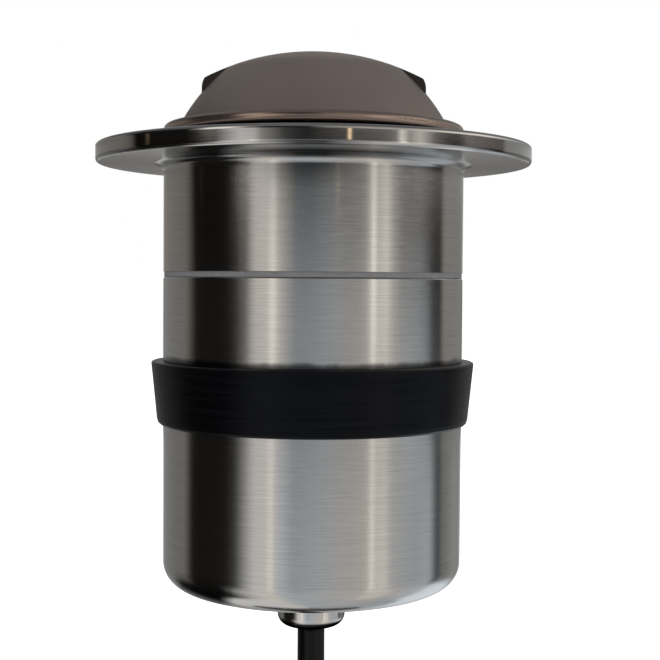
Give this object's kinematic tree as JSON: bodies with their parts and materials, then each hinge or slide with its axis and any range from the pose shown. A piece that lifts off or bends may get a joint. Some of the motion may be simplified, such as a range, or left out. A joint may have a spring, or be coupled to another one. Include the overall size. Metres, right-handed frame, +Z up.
{
  "type": "in ground well light",
  "caption": "Paving well light: flanged stainless tube and can, turning hood with two side ports, rubber wedge ring, cable gland and free lead.",
  "frame": {"origin": "on the light's axis, in the plane of the flange's underside, which rests on the paving", "axes": "+Z up along the axis towards the hood, +X towards one of the hood's two light ports at rest"},
  "size_m": [0.11, 0.11, 0.2976],
  "materials": {
    "brushed_stainless": "circumferentially brushed stainless steel",
    "black_rubber": "plain black rubber",
    "lens_glass": "clear tempered glass",
    "dark_metal": "dark coated metal",
    "screw_steel": "plain stainless screws",
    "hood_metal": "satin bronze-brown metal",
    "reflector_metal": "bright spun aluminium",
    "led_phosphor": "yellow phosphor",
    "board_white": "white solder mask",
    "cast_aluminium": "machined aluminium",
    "brass_parts": "plain brass",
    "driver_case": "black moulded case with potting",
    "red_wire": "insulated wire",
    "block_plastic": "natural moulded plastic",
    "grey_gasket": "grey flat gasket",
    "wedge_rubber": "satin black moulded rubber",
    "gland_metal": "polished nickel-plated brass",
    "cable_rubber": "black rubber sheath",
    "core_insulation": "core insulation",
    "tie_plastic": "natural nylon",
    "ferrule_metal": "tinned copper"
  },
  "bodies": {
    "housing": {"faceplate": "brushed_stainless", "lens_gasket": "black_rubber", "glass_lens": "lens_glass", "clamp_ring": "dark_metal", "clamp_screws": "screw_steel", "hood_grip_ring": "black_rubber", "reflector": "reflector_metal", "led_emitter": "led_phosphor", "led_board": "board_white", "board_screws": "screw_steel", "heat_sink": "cast_aluminium", "heat_sink_screws": "screw_steel", "driver_spacers": "brass_parts", "driver": "driver_case", "output_wires": "red_wire", "terminal_block": "block_plastic", "coupling_sleeve": "cast_aluminium", "sleeve_seals": "black_rubber", "joint_ring": "grey_gasket", "lower_can": "brushed_stainless", "wedge_ring": "wedge_rubber", "gland_lock_nut": "gland_metal", "gland_flat_seal": "black_rubber", "gland_body": "gland_metal", "gland_seal": "black_rubber", "gland_cap": "gland_metal", "cable_tail": "cable_rubber", "tail_cores": "core_insulation", "cable": "cable_rubber", "cable_coil": "cable_rubber", "coil_ties": "tie_plastic", "end_cores": "core_insulation", "end_ferrules": "ferrule_metal"},
    "hood": {"hood": "hood_metal"}
  },
  "joints": [
    {"name": "hood_turn", "type": "hinge", "parent": "housing", "child": "hood", "pos_m": [0, 0, 0.0098], "axis": [0, 0, 1], "continuous": true}
  ]
}
